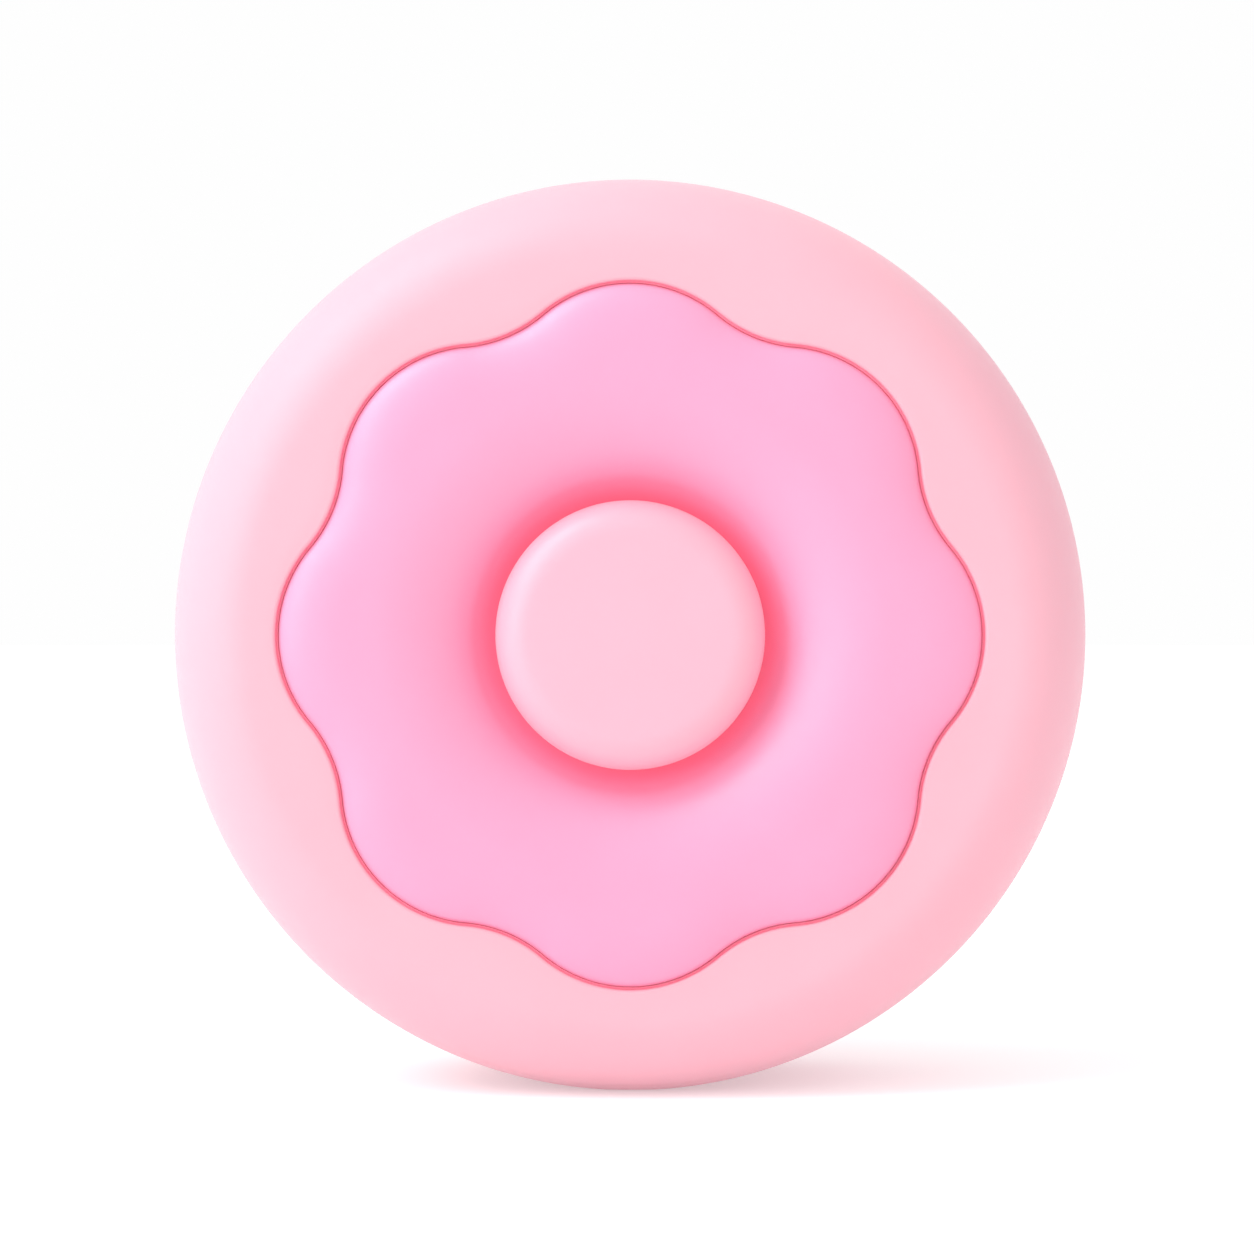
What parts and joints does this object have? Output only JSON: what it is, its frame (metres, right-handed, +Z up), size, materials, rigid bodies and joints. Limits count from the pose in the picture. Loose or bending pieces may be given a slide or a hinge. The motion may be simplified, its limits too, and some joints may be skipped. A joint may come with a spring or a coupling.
{
  "type": "facial cleansing brush",
  "caption": "Round doughnut-shaped silicone facial cleansing brush with a scalloped panel, a push button in its well and a bristle pad on the back.",
  "frame": {"origin": "middle of the small flat on the rim that it stands on", "axes": "+Z up, +Y through the puck from the control face to the bristles, +X to the right seen from the control face"},
  "size_m": [0.076, 0.033, 0.0758],
  "materials": {
    "silicone_pink": "soft matt silicone, pale pink",
    "silicone_icing": "satin silicone, brighter pink with a faint mauve tint",
    "button_pink": "satin, pale pink",
    "bristles_pink": "soft matt silicone",
    "housing": "white moulded plastic",
    "carrier": "pale moulded plastic",
    "guide": "white moulded plastic",
    "seal_rubber": "grey sealing rubber",
    "steel": "zinc plated steel",
    "gold": "gold plated contact",
    "board_green": "green solder mask",
    "chip_black": "black epoxy",
    "connector_white": "cream nylon",
    "cell_foil": "laminated foil",
    "foam": "black foam",
    "copper": "enamelled copper",
    "magnet": "sintered magnet",
    "weight_metal": "sintered tungsten alloy",
    "wire_red": "insulated wire",
    "wire_white": "insulated wire"
  },
  "bodies": {
    "brush": {"silicone_sleeve": "silicone_pink", "icing_panel": "silicone_icing", "brush_pad": "bristles_pink", "front_housing": "housing", "rear_housing": "housing", "panel_carrier": "carrier", "button_guide": "guide", "button_spring": "steel", "button_seal": "seal_rubber", "guide_screws": "steel", "board_screws": "steel", "housing_screws": "steel", "housing_seal": "seal_rubber", "contact_insert": "chip_black", "contact_seal": "seal_rubber", "charge_contacts": "gold", "charge_magnets": "magnet", "circuit_board": "board_green", "switch_body": "chip_black", "switch_dome": "steel", "microcontroller": "chip_black", "charge_chip": "chip_black", "motor_driver_chip": "chip_black", "small_board_parts": "connector_white", "battery_connector": "connector_white", "battery_cell": "cell_foil", "battery_pad": "foam", "motor_can": "steel", "motor_bushes": "gold", "motor_end_cap": "connector_white", "motor_terminals": "gold", "motor_magnets": "magnet", "motor_sleeve": "foam", "motor_strap": "steel", "strap_screws": "steel", "motor_leads": "wire_white", "battery_leads": "wire_red", "charge_leads": "wire_white"},
    "button": {"button_cap": "button_pink", "switch_plunger": "connector_white"},
    "rotor": {"motor_shaft": "steel", "rotor_core": "magnet", "rotor_windings": "copper", "commutator": "copper", "eccentric_weight": "weight_metal"}
  },
  "joints": [
    {"name": "button_press", "type": "slide", "parent": "brush", "child": "button", "axis": [0, 1, 0], "range_m": [0, 0.0005], "stiffness_N_per_m": 1500, "springref_m": -0.0005, "deforming": ["button_spring", "button_seal", "switch_dome"]},
    {"name": "motor_spin", "type": "hinge", "parent": "brush", "child": "rotor", "pos_m": [0, 0.0046, 0.0488], "axis": [1, 0, 0], "continuous": true}
  ]
}
